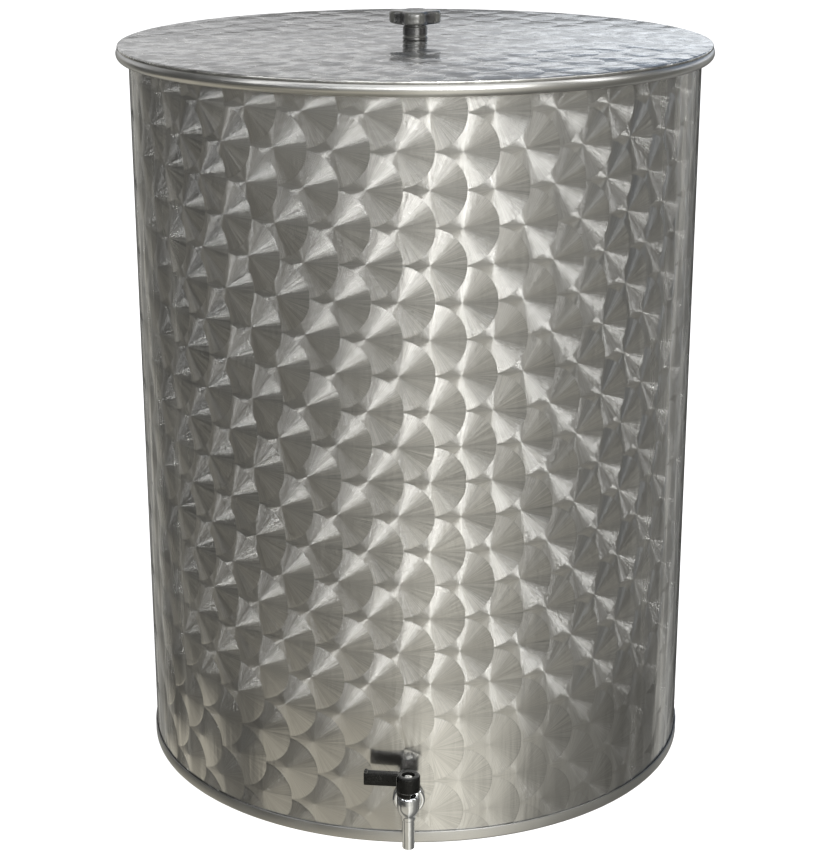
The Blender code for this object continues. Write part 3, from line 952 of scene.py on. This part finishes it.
@dataclass
class Lid(Assembly):
    """The loose lid with its knob and the screw that holds it."""

    body: ClassVar[Body] = Body.LID
    top: float = 0.690
    thick: float = 0.001
    radius: float = 0.2752
    lip: float = 0.0025
    corner: float = 0.0015
    hole_r: float = 0.0044
    knob_r: float = 0.024
    valley: float = 0.0062
    lobe_width: float = 1.6
    hub_r: float = 0.0117
    groove: float = 0.0011
    knob_h: float = 0.027
    head_z: float = 0.0145
    knob_steps: int = 160
    bore_r: float = 0.0041
    bore_h: float = 0.016
    screw_r: float = 0.0037
    screw_l: float = 0.014
    head_flats: float = 0.013
    head_h: float = 0.0053
    head_chamfer: float = 0.0014

    def plate_mesh(self) -> Mesh:
        """The flat plate with its edge turned down."""
        edge = arc((self.radius - self.corner, self.top - self.corner), self.corner, 90, 0, 8)
        inner_r = self.radius - self.thick
        low, under = self.top - self.lip, self.top - self.thick
        section = [
            (self.hole_r, self.top), *edge, (self.radius, low), (inner_r, low),
            (inner_r, under - GAP), (inner_r - GAP, under), (self.hole_r, under),
        ]
        return turned(section, FULL_TURN_STEPS)

    def lobed(self, turn: float, radius: float, depth: float) -> float:
        """Gives the outline's radius at a turn, the valleys on the diagonals."""
        return radius - depth * ((1 - math.cos(4 * turn)) / 2) ** self.lobe_width

    def knob_layers(self) -> list[Triple]:
        """Gives the knob's rings from the bore outward and up, as (radius, depth of valleys, height)."""
        head, hub, rim, full, high = self.head_z, self.hub_r, self.knob_r, self.valley, self.knob_h
        waist, cut = hub - 0.0002, hub - self.groove
        bore = [(self.bore_r, 0, self.bore_h), (self.bore_r, 0, GAP)]
        foot = [(hub - 0.0006, 0, GAP), (hub, 0, GAP + 0.0006), (hub, 0, 0.0028)]
        ring = [(cut, 0, 0.0036), (cut, 0, 0.0042), (waist, 0, 0.0050)]
        neck = [(waist, 0, head - 0.0026), (cut, 0, head - 0.0018), (cut, 0, head - 0.0008)]
        under = [(hub + 0.004, 0.0012, head), (rim - 0.0035, full * 0.9, head + 0.0006)]
        side = [
            (rim - 0.0012, full, head + 0.0014), (rim - 0.0003, full, head + 0.0024),
            (rim, full, head + 0.0034), (rim, full, high - 0.0026), (rim - 0.0003, full, high - 0.0016),
            (rim - 0.0010, full, high - 0.0007), (rim - 0.0020, full, high - 0.0002),
            (rim - 0.0032, full, high),
        ]
        top = [(rim * 0.52, full * 0.35, high - 0.0002), (rim * 0.30, 0, high - 0.0009)]
        return [*bore, *foot, *ring, *neck, *under, *side, *top]

    def knob_mesh(self) -> Mesh:
        """The lobed head and ringed hub, extruded ring by ring from the bore."""
        bm = bmesh.new()
        first = bmesh.ops.create_circle(bm, cap_ends=True, radius=1.0, segments=self.knob_steps)["verts"]
        verts, edges = list(first), list({e for v in first for e in v.link_edges})
        for number, (radius, depth, z) in enumerate(self.knob_layers()):
            if number:
                made = bmesh.ops.extrude_edge_only(bm, edges=edges)["geom"]
                verts = [g for g in made if isinstance(g, bmesh.types.BMVert)]
                news = set(verts)
                edges = [g for g in made if isinstance(g, bmesh.types.BMEdge) and set(g.verts) <= news]
            for vert in verts:
                turn = math.atan2(vert.co.y, vert.co.x)
                reach = self.lobed(turn, radius, depth)
                vert.co = (reach * math.cos(turn), reach * math.sin(turn), z)
        bmesh.ops.edgeloop_fill(bm, edges=edges)
        return moved(bm, (0, 0, self.top))

    def screw_mesh(self) -> Mesh:
        """The hexagon head with broken corners, on its shank."""
        high = self.top - self.thick - GAP
        low = high - self.head_h
        flat_r, corner_r = self.head_flats / 2, self.head_flats / math.sqrt(3)
        reach = corner_r * 1.02
        head = prism(corner_r, self.head_h, 6, Matrix.Translation((0, 0, high - self.head_h / 2)))
        broken = low + self.head_chamfer
        turning = [(0, low), (flat_r * 0.94, low), (reach, broken), (reach, high), (0, high)]
        start, end = high - 0.002, self.top + self.screw_l
        shank = [(0, start), (self.screw_r, start), (self.screw_r, end - 0.0005), (0, end)]
        cuts = [(turned(turning, 72), "INTERSECT"), (turned(shank, 40), "UNION")]
        return combined("knob_screw", head, cuts)

    def build(self, palette: Palette) -> None:
        """Builds and dresses the lid, its underside plain."""
        middle_z, middle_r = self.top - self.thick / 2, self.radius - self.thick / 2
        self.deliver(
            "lid_sheet", self.plate_mesh(), "swirl_steel", ["lid_plate"], [palette.flat, palette.steel],
            choose=lambda centre: 0 if centre.z > middle_z or centre.xy.length > middle_r else 1,
        )
        self.deliver("lid_handle", self.knob_mesh(), "black_plastic", ["lid_knob"], [palette.knob], 30.0)
        self.deliver(
            "lid_handle_screw", self.screw_mesh(), "plain_steel", ["lid_knob_screw"], [palette.steel], 25.0
        )


@dataclass
class TapFixing(Assembly):
    """The shank through the wall, with a flange and seal outside and a seal and nut inside."""

    shank_r: float = 0.0100
    bore_r: float = 0.0050
    shank_in: float = 0.016
    shank_out: float = 0.0090
    thread_pitch: float = 0.0014
    thread_depth: float = 0.0007
    thread_width: float = 0.42
    thread_root: float = 0.0001
    thread_start: float = 0.0010
    thread_steps: int = 36
    run_out: float = 0.0018
    end_chamfer: float = 0.0006
    seal_r: float = 0.0138
    seal_t: float = 0.0015
    seal_edge: float = 0.0005
    seal_sag: float = 0.0008
    flange_r: float = 0.0146
    flange_t: float = 0.0040
    flange_edge: float = 0.0003
    chamfer: float = 0.0012
    nut_flats: float = 0.027
    nut_t: float = 0.005
    nut_chamfer: float = 0.0013
    nut_edge: float = 0.0006

    def placed(self, bm: Mesh) -> Mesh:
        """Turns a shape made about +Z outward and puts it at the tap's hole."""
        return moved(rotated(bm, 90, "X"), (0, -BODY_R, HOLE_Z))

    def shank_mesh(self) -> Mesh:
        """The bored shank with its thread, a ridge spun as a helix over the core."""
        core = self.shank_r - self.thread_depth
        section = [
            (self.bore_r, -self.shank_in), (core - self.end_chamfer, -self.shank_in),
            (core, -self.shank_in + self.end_chamfer),
            (core, self.shank_out), (self.bore_r, self.shank_out),
        ]
        bm = turned(section, 72)
        turns = int((self.shank_in - self.run_out) / self.thread_pitch)
        start, half = -self.shank_in + self.thread_start, self.thread_pitch * self.thread_width
        low = bm.verts.new((core - self.thread_root, 0, start - half))
        crest = bm.verts.new((self.shank_r, 0, start))
        high = bm.verts.new((core - self.thread_root, 0, start + half))
        ridge = [bm.edges.new((low, crest)), bm.edges.new((crest, high)), bm.edges.new((high, low))]
        steps = turns * self.thread_steps
        bmesh.ops.spin(
            bm, geom=[low, crest, high, *ridge], cent=(0, 0, 0), axis=(0, 0, 1), angle=math.tau * turns,
            steps=steps, dvec=(0, 0, self.thread_pitch * turns / steps), use_merge=False,
        )
        bmesh.ops.holes_fill(bm, edges=[e for e in bm.edges if e.is_boundary], sides=4)
        return self.placed(bm)

    def seal_mesh(self, low: float) -> Mesh:
        """A washer round the shank with rounded edges, from a place along the shank."""
        inner, edge, high = self.shank_r + GAP, self.seal_edge, low + self.seal_t
        upper = arc((self.seal_r - edge, high - edge), edge, 90, 0, 4)
        lower = arc((self.seal_r - edge, low + edge), edge, 0, -90, 4)
        return self.placed(turned([(inner, high), *upper, *lower, (inner, low)], 72))

    def flange_mesh(self) -> Mesh:
        """The turned wall flange with a wide front chamfer."""
        low = self.seal_t + 2 * GAP
        high = low + self.flange_t
        inner = self.shank_r + GAP
        section = [
            (inner, low), (self.flange_r, low), (self.flange_r, high - 1.5 * self.chamfer),
            (self.flange_r - self.chamfer, high), (inner, high),
        ]
        bm = turned(section)
        soften(bm, self.flange_edge, 2, 25.0)
        return self.placed(bm)

    def nut_mesh(self) -> Mesh:
        """The hexagon nut with both faces turned at the corners."""
        high = -SHEET_T - self.seal_sag - self.seal_t - GAP
        low = high - self.nut_t
        flat_r, corner_r = self.nut_flats / 2, self.nut_flats / math.sqrt(3)
        nut = prism(corner_r, self.nut_t, 6, Matrix.Translation((0, 0, (low + high) / 2)))
        inner, reach, edge = self.shank_r + GAP, corner_r * 1.02, self.nut_edge
        section = [
            (inner + edge, low), (flat_r * 0.96, low), (reach, low + self.nut_chamfer),
            (reach, high - edge), (corner_r * 0.97, high), (inner, high), (inner, low + edge),
        ]
        return self.placed(combined("inner_nut", nut, [(turned(section, 72), "INTERSECT")]))

    def build(self, palette: Palette) -> None:
        """Builds and dresses the fixing."""
        inner_face = -SHEET_T - self.seal_sag - self.seal_t
        for name, bm, slot, node, finish, smooth in (
            ("threaded_shank", self.shank_mesh(), "chrome", "tap_shank", palette.chrome, 25.0),
            ("outer_seal", self.seal_mesh(GAP), "rubber", "tap_outer_seal", palette.rubber, 35.0),
            ("wall_flange", self.flange_mesh(), "chrome", "tap_wall_flange", palette.chrome, 30.0),
            ("inner_seal", self.seal_mesh(inner_face), "rubber", "tap_inner_seal", palette.rubber, 35.0),
            ("inner_nut", self.nut_mesh(), "plain_steel", "tap_inner_nut", palette.steel, 25.0),
        ):
            self.deliver(name, bm, slot, [node], [finish], smooth)


@dataclass
class TapBody(Assembly):
    """The upright chrome body of the tap, its stub to the shank and its spout."""

    profile: tuple[Point, ...] = (
        (0.0, 0.0635), (0.0046, 0.0635), (0.0046, 0.0602), (0.0074, 0.0599), (0.0092, 0.0590),
        (0.0100, 0.0577), (0.0103, 0.0562), (0.0103, 0.0475), (0.0101, 0.0458), (0.0096, 0.0440),
        (0.0090, 0.0426), (0.0083, 0.0412), (0.0076, 0.0401), (0.0071, 0.0391), (0.0067, 0.0381),
        (0.0066, 0.0372), (0.0066, 0.0354), (0.0064, 0.0349), (0.0060, 0.0345), (0.0, 0.0345),
    )
    stub_r: float = 0.0080
    stub_l: float = 0.0107
    spout_r: float = 0.0055
    spout_bore: float = 0.0043
    spout_top: float = 0.0342
    spout_end: float = 0.0063
    mouth_lift: float = 0.0006

    def body_mesh(self) -> Mesh:
        """The turned body with its neck, cup and cone, joined to the stub."""
        place = Matrix.Rotation(math.radians(-90), 4, "X") @ Matrix.Translation((0, 0, self.stub_l / 2))
        stub = moved(prism(self.stub_r, self.stub_l, 72, place), (0, 0, HOLE_Z))
        return moved(combined("tap_body_join", turned(self.profile, 120), [(stub, "UNION")]), (0, TAP_Y, 0))

    def spout_mesh(self) -> Mesh:
        """The bored spout with a rolled mouth."""
        middle, half = (self.spout_r + self.spout_bore) / 2, (self.spout_r - self.spout_bore) / 2
        mouth = arc((middle, self.spout_end + self.mouth_lift), half, 0, -180, 8)
        section = [(self.spout_bore, self.spout_top), (self.spout_r, self.spout_top), *mouth]
        return moved(turned(section), (0, TAP_Y, 0))

    def build(self, palette: Palette) -> None:
        """Builds and dresses the tap's body."""
        self.deliver("tap_barrel", self.body_mesh(), "chrome", ["tap_body"], [palette.chrome], 32.0)
        self.deliver("spout_tube", self.spout_mesh(), "chrome", ["tap_spout"], [palette.chrome], 40.0)


@dataclass
class Lever(Assembly):
    """The black lever with its hub, bar, stop skirt and screw."""

    body: ClassVar[Body] = Body.LEVER
    z: float = 0.0641
    rest: float = 175.0
    hub_r: float = 0.0107
    hub_h: float = 0.0147
    hub_foot: float = 0.0003
    shoulder: float = 0.0016
    mouth: float = 0.0004
    recess_r: float = 0.0060
    recess_d: float = 0.0040
    bore_r: float = 0.0034
    bar_l: float = 0.0397
    bar_w: float = 0.0074
    bar_low: float = 0.0039
    bar_high: float = 0.0160
    bar_edge: float = 0.0011
    nub: float = 0.0013
    nub_l: float = 0.0028
    nub_edge: float = 0.0006
    nub_inset: float = 0.0004
    nub_narrow: float = 0.0008
    root: float = 0.0022
    skirt_t: float = 0.0018
    skirt_drop: float = 0.0044
    skirt_from: float = 186.0
    skirt_to: float = 282.0
    screw_r: float = 0.0042
    screw_h: float = 0.0022
    slot_reach: float = 0.0026
    slot_half: float = 0.00045
    slot_d: float = 0.0013
    slot_over: float = 0.001
    cross_turns: tuple[float, float] = (20.0, 110.0)

    def hub_mesh(self) -> Mesh:
        """The round hub, bored and recessed on top, with rounded edges."""
        floor = self.hub_h - self.recess_d
        shoulder = arc((self.hub_r - self.shoulder, self.hub_h - self.shoulder), self.shoulder, 0, 90, 8)
        mouth = arc((self.recess_r + self.mouth, self.hub_h - self.mouth), self.mouth, 90, 180, 3)
        section = [
            (self.bore_r, 0), (self.hub_r - self.hub_foot, 0), (self.hub_r, self.hub_foot),
            *shoulder, *mouth, (self.recess_r, floor), (self.bore_r, floor),
        ]
        return turned(section)

    def block(self, low: Triple, high: Triple, edge: float) -> Mesh:
        """Makes a block between two corners with rounded edges.

        Args:
            low: Its lowest corner.
            high: Its highest corner.
            edge: Radius of its edges.

        Returns:
            The bmesh.
        """
        bm = bmesh.new()
        bmesh.ops.create_cube(bm, size=1.0)
        bmesh.ops.scale(bm, vec=[b - a for a, b in zip(low, high)], verts=bm.verts)
        moved(bm, tuple((a + b) / 2 for a, b in zip(low, high)))
        soften(bm, edge, 4)
        return bm

    def skirt_mesh(self) -> Mesh:
        """The stop skirt, a quarter ring under the hub."""
        outer, inner, low, high = self.hub_r - GAP, self.hub_r - self.skirt_t, -self.skirt_drop, self.skirt_t
        bm = bmesh.new()
        start = Matrix.Rotation(math.radians(self.skirt_from), 3, "Z")
        corners = [(outer, low), (outer, high), (inner, high), (inner, low)]
        face = bm.faces.new([bm.verts.new(start @ Vector((r, 0, z))) for r, z in corners])
        sweep = math.radians(self.skirt_to - self.skirt_from)
        bmesh.ops.spin(
            bm, geom=[face], cent=(0, 0, 0), axis=(0, 0, 1), angle=sweep, steps=24, use_duplicate=False
        )
        return bm

    def lever_mesh(self) -> Mesh:
        """The hub, bar, raised end and skirt as one moulding."""
        half = self.bar_w / 2
        tip, inner = self.bar_l - self.nub_inset, half - self.nub_narrow
        bar = self.block(
            (self.hub_r - self.root, -half, self.bar_low), (self.bar_l, half, self.bar_high), self.bar_edge
        )
        end = self.block(
            (tip - self.nub_l, -inner, self.bar_high - self.nub), (tip, inner, self.bar_high + self.nub),
            self.nub_edge,
        )
        parts = [rotated(bar, self.rest), rotated(end, self.rest), self.skirt_mesh()]
        joined = combined("lever_join", self.hub_mesh(), [(bm, "UNION") for bm in parts])
        return moved(joined, (0, TAP_Y, self.z))

    def screw_mesh(self) -> Mesh:
        """The domed screw in the recess, with a cross cut in its head."""
        low = self.hub_h - self.recess_d + GAP
        high = low + self.screw_h
        shaft = self.bore_r - GAP
        dome = arc((self.screw_r - self.screw_h, low), self.screw_h, 0, 90, 10)
        bm = turned([(0, -GAP), (shaft, -GAP), (shaft, low), *dome, (0, high)], 64)
        cuts = []
        for turn in self.cross_turns:
            slot = self.block(
                (-self.slot_reach, -self.slot_half, high - self.slot_d),
                (self.slot_reach, self.slot_half, high + self.slot_over), 0.0001,
            )
            cuts.append((rotated(slot, turn), "DIFFERENCE"))
        return moved(combined("lever_screw_cut", bm, cuts), (0, TAP_Y, self.z))

    def build(self, palette: Palette) -> None:
        """Builds and dresses the lever."""
        for name, bm, slot, node, finish in (
            ("lever_handle", self.lever_mesh(), "black_plastic", "tap_lever", palette.plastic),
            ("lever_screw", self.screw_mesh(), "plain_steel", "tap_lever_screw", palette.steel),
        ):
            self.deliver(name, bm, slot, [node], [finish], 28.0)


# Studio


def heading(turn: float, rise: float) -> Vector:
    """Gives the direction at a turn, 0 in front and 90 on the right, and a rise, both in degrees."""
    across, up = math.radians(turn), math.radians(rise)
    return Vector((math.sin(across) * math.cos(up), -math.cos(across) * math.cos(up), math.sin(up)))


@dataclass(frozen=True)
class Lamp:
    """An area lamp that looks at the drum's middle from a turn and a rise.

    Its width and height are the angles in degrees that they fill, and its shine is its
    brightness as a surface.
    """

    name: str
    turn: float
    rise: float
    wide: float
    high: float
    shine: float
    colour: Triple = WHITE
    far: float = 5.0
    aim: float = 0.35

    def build(self) -> None:
        """Makes the lamp."""
        data = bpy.data.lights.new(self.name, "AREA")
        data.shape = "RECTANGLE"
        data.size = 2 * self.far * math.tan(math.radians(self.wide / 2))
        data.size_y = 2 * self.far * math.tan(math.radians(self.high / 2))
        data.energy = self.shine * math.pi * data.size * data.size_y
        data.color = self.colour
        lamp, ray = linked(self.name, data), heading(self.turn, self.rise)
        lamp.location = Vector((0, 0, self.aim)) + ray * self.far
        lamp.rotation_euler = (-ray).to_track_quat("-Z", "Y").to_euler()


@dataclass(frozen=True)
class RoomPatch:
    """A patch of the room in another tone, fading in over ranges of the direction's parts.

    Each bound is a part's name, where the patch starts, where it is full and its least share.
    """

    colour: Triple
    how: str
    most: float
    bounds: tuple[tuple[str, float, float, float], ...]

    def over(self, s: Sketch, room: Socket, parts: Sockets) -> Socket:
        """Lays the patch over the room.

        Args:
            s: The world's sketch.
            room: The room's colour so far.
            parts: The direction's parts by name.

        Returns:
            The room's colour with the patch.
        """
        mask: Value = self.most
        for part, off, on, least in self.bounds:
            mask = s.math("MULTIPLY", mask, s.fade(parts[part], off, on, least))
        return s.blend(mask, room, self.colour, self.how)


@dataclass
class Studio:
    """The floor, the light and the camera."""

    camera_turn: float = 1.35
    camera_height: float = 0.9113
    camera_far: float = 1.8644
    pitch: float = 17.863
    yaw: float = -0.106
    roll: float = -0.085
    focal_px: float = 1980.8
    image_px: float = 856.0
    film: float = 36.0
    floor_r: float = 30.0
    panes: tuple[Triple, ...] = (
        (-1.0, 1.3, 8.0), (-10.0, 1.2, 16.0), (-17.0, 1.2, 6.5), (-25.0, 1.4, 10.0), (-33.0, 1.2, 4.0),
        (-45.0, 1.6, 4.0),
    )
    patches: tuple[RoomPatch, ...] = (
        RoomPatch((1.85, 1.82, 1.74), "MULTIPLY", 0.5, (("y", -0.2, -0.8, 0.0), ("z", -0.20, -0.45, 0.0))),
        RoomPatch((0.16, 0.157, 0.146), "ADD", 1.0, (
            ("z", -0.27, -0.17, 0.0), ("z", -0.03, -0.11, 0.0), ("y", 0.0, -0.25, 0.0),
            ("aside", 0.1, 0.5, 0.3),
        )),
        RoomPatch((1.2, 1.2, 1.2), "MIX", 1.0, (("z", 0.60, 0.75, 0.0), ("y", 0.1, -0.2, 0.0))),
        RoomPatch((0.55, 0.515, 0.43), "MIX", 1.0, (
            ("z", -0.425, -0.475, 0.0), ("x", 0.05, -0.1, 0.0), ("y", 0.80, 0.60, 0.0),
            ("off_side", 0.05, 0.30, 0.25),
        )),
    )

    def build_camera(self) -> None:
        """Makes the camera at the photograph's angle."""
        roll = math.radians(self.roll)
        ahead = -heading(-self.yaw, self.pitch)
        right = ahead.cross(Vector((0, 0, 1))).normalized()
        up = right.cross(ahead)
        side = right * math.cos(roll) + up * math.sin(roll)
        top = up * math.cos(roll) - right * math.sin(roll)
        matrix = Matrix((side, top, -ahead)).transposed().to_4x4()
        matrix.translation = (0, -self.camera_far, self.camera_height)
        data = bpy.data.cameras.new("photo_camera")
        data.sensor_width = self.film
        data.lens = self.focal_px * self.film / self.image_px
        data.clip_start, data.clip_end = 0.05, 100.0
        made = linked("photo_camera", data)
        made.matrix_world = Matrix.Rotation(math.radians(self.camera_turn), 4, "Z") @ matrix
        bpy.context.scene.camera = made

    def build_floor(self) -> None:
        """Makes a wide pale floor that the steel doesn't mirror."""
        bm = bmesh.new()
        bmesh.ops.create_circle(bm, cap_ends=True, radius=self.floor_r, segments=64)
        mat, s, shader, _ = bare_material("floor_white")
        s.supply(shader, {
            "Base Color": (0.9, 0.9, 0.9, 1.0), "Roughness": 0.9,
            "Emission Color": (*WHITE, 1.0), "Emission Strength": 0.75,
        })
        floor = piece("floor", bm, [mat])
        floor.location = (0, 0, -0.0002)
        floor.visible_glossy = False
        floor.visible_diffuse = False

    def floor_tones(self) -> list[tuple[float, float, Triple]]:
        """Gives the room's tone and tint by the turn round the drum, 0 in front and 90 on the right."""
        warm, neutral, cool = (1.0, 0.975, 0.885), (1.0, 0.985, 0.92), (1.0, 1.0, 0.96)
        left = [
            (-180, 0.02, cool), (-163, 0.03, cool), (-157, 0.22, cool), (-150, 0.46, neutral),
            (-142, 0.40, warm), (-136, 0.22, warm), (-126, 0.08, warm), (-117, 0.07, cool),
            (-112, 0.22, warm), (-107, 0.09, cool), (-99, 0.07, cool), (-95, 0.13, neutral),
            (-90, 0.075, cool), (-60, 0.055, neutral), (-36, 0.07, neutral), (-12, 0.33, warm),
        ]
        right = [
            (12, 0.80, warm), (36, 0.56, warm), (60, 0.26, warm), (84, 0.21, warm), (104, 0.14, warm),
            (110, 0.22, neutral), (116, 0.14, warm), (127, 0.18, neutral), (137, 0.44, neutral),
            (146, 0.34, cool), (153, 0.22, cool), (159, 0.14, cool), (165, 0.03, cool), (180, 0.02, cool),
        ]
        return left + right

    def room_colour(self, s: Sketch) -> Socket:
        """Draws the room that the metal mirrors.

        Args:
            s: The world's sketch.

        Returns:
            The room's colour by direction.
        """
        x, y, z = s.separate(s.node("TexCoord").outputs["Generated"])
        turn = s.math("ARCTAN2", x, s.math("MULTIPLY", y, -1.0))
        level = s.math("MULTIPLY_ADD", turn, 1.0 / math.tau, 0.5)
        stops = [((a + 180) / 360, (t * r, t * g, t * b)) for a, t, (r, g, b) in self.floor_tones()]
        around = s.ramp(level, stops, "EASE")
        off_side = s.math("ABSOLUTE", s.math("ADD", y, 0.15))
        parts = {"x": x, "y": y, "z": z, "aside": s.math("ABSOLUTE", x), "off_side": off_side}
        for patch in self.patches:
            around = patch.over(s, around, parts)
        right = s.fade(x, -0.05, 0.13)
        band = s.blend(right, (0.60, 0.60, 0.605), (1.06, 1.11, 1.17))
        band = s.toned(band, s.fade(z, 0.11, 0.15, 0.97, 1.30))
        upper = s.blend(right, (0.50, 0.50, 0.50), (0.17, 0.22, 0.30))
        sky = s.blend(s.fade(s.math("MULTIPLY_ADD", right, 0.03, z), 0.185, 0.235), band, upper)
        behind = s.math("MULTIPLY", s.fade(z, 0.0, 0.055), s.fade(y, 0.2, 0.6))
        return s.blend(behind, around, sky)

    def build_surroundings(self) -> None:
        """Makes a white backdrop for the camera and a grey room for the reflections."""
        world = bpy.data.worlds.new("studio")
        world.use_nodes = True
        bpy.context.scene.world = world
        s = Sketch(world.node_tree)
        room = world.node_tree.nodes["Background"]
        s.supply(room, {"Color": self.room_colour(s), "Strength": 1.0})
        white = s.node("Background", (*WHITE, 1.0), 1.0)
        seen = s.mixed(s.node("LightPath").outputs["Is Camera Ray"], room, white)
        s.feed(world.node_tree.nodes["World Output"].inputs["Surface"], seen.outputs[0])

    def lamps(self) -> list[Lamp]:
        """Gives the right window, the panes of the left one and a strip far out on each side."""
        panes = [
            Lamp(f"pane_{number}", turn, 21.5, wide, 23.0, shine, (0.96, 0.98, 1.0))
            for number, (turn, wide, shine) in enumerate(self.panes)
        ]
        return [
            Lamp("right_window", 20.5, 22.0, 30.0, 28.0, 7.2, (1.0, 1.0, 0.985)),
            *panes,
            Lamp("far_left_strip", -60.0, 31.0, 9.0, 32.0, 2.8),
            Lamp("far_right_strip", 75.0, 30.0, 9.0, 34.0, 3.5),
        ]

    def build(self) -> None:
        """Sets up the whole studio."""
        self.build_camera()
        self.build_floor()
        self.build_surroundings()
        for lamp in self.lamps():
            lamp.build()
        bpy.context.scene.view_settings.view_transform = "Standard"


def main() -> None:
    """Builds the drum and its studio."""
    logging.basicConfig(level=logging.INFO, format="%(name)s %(message)s")
    palette = Palette.mixed()
    Studio().build()
    for part in (Shell(), Lid(), TapFixing(), TapBody(), Lever()):
        part.build(palette)
        LOG.info("%s is done", type(part).__name__)


if __name__ == "__main__":
    main()
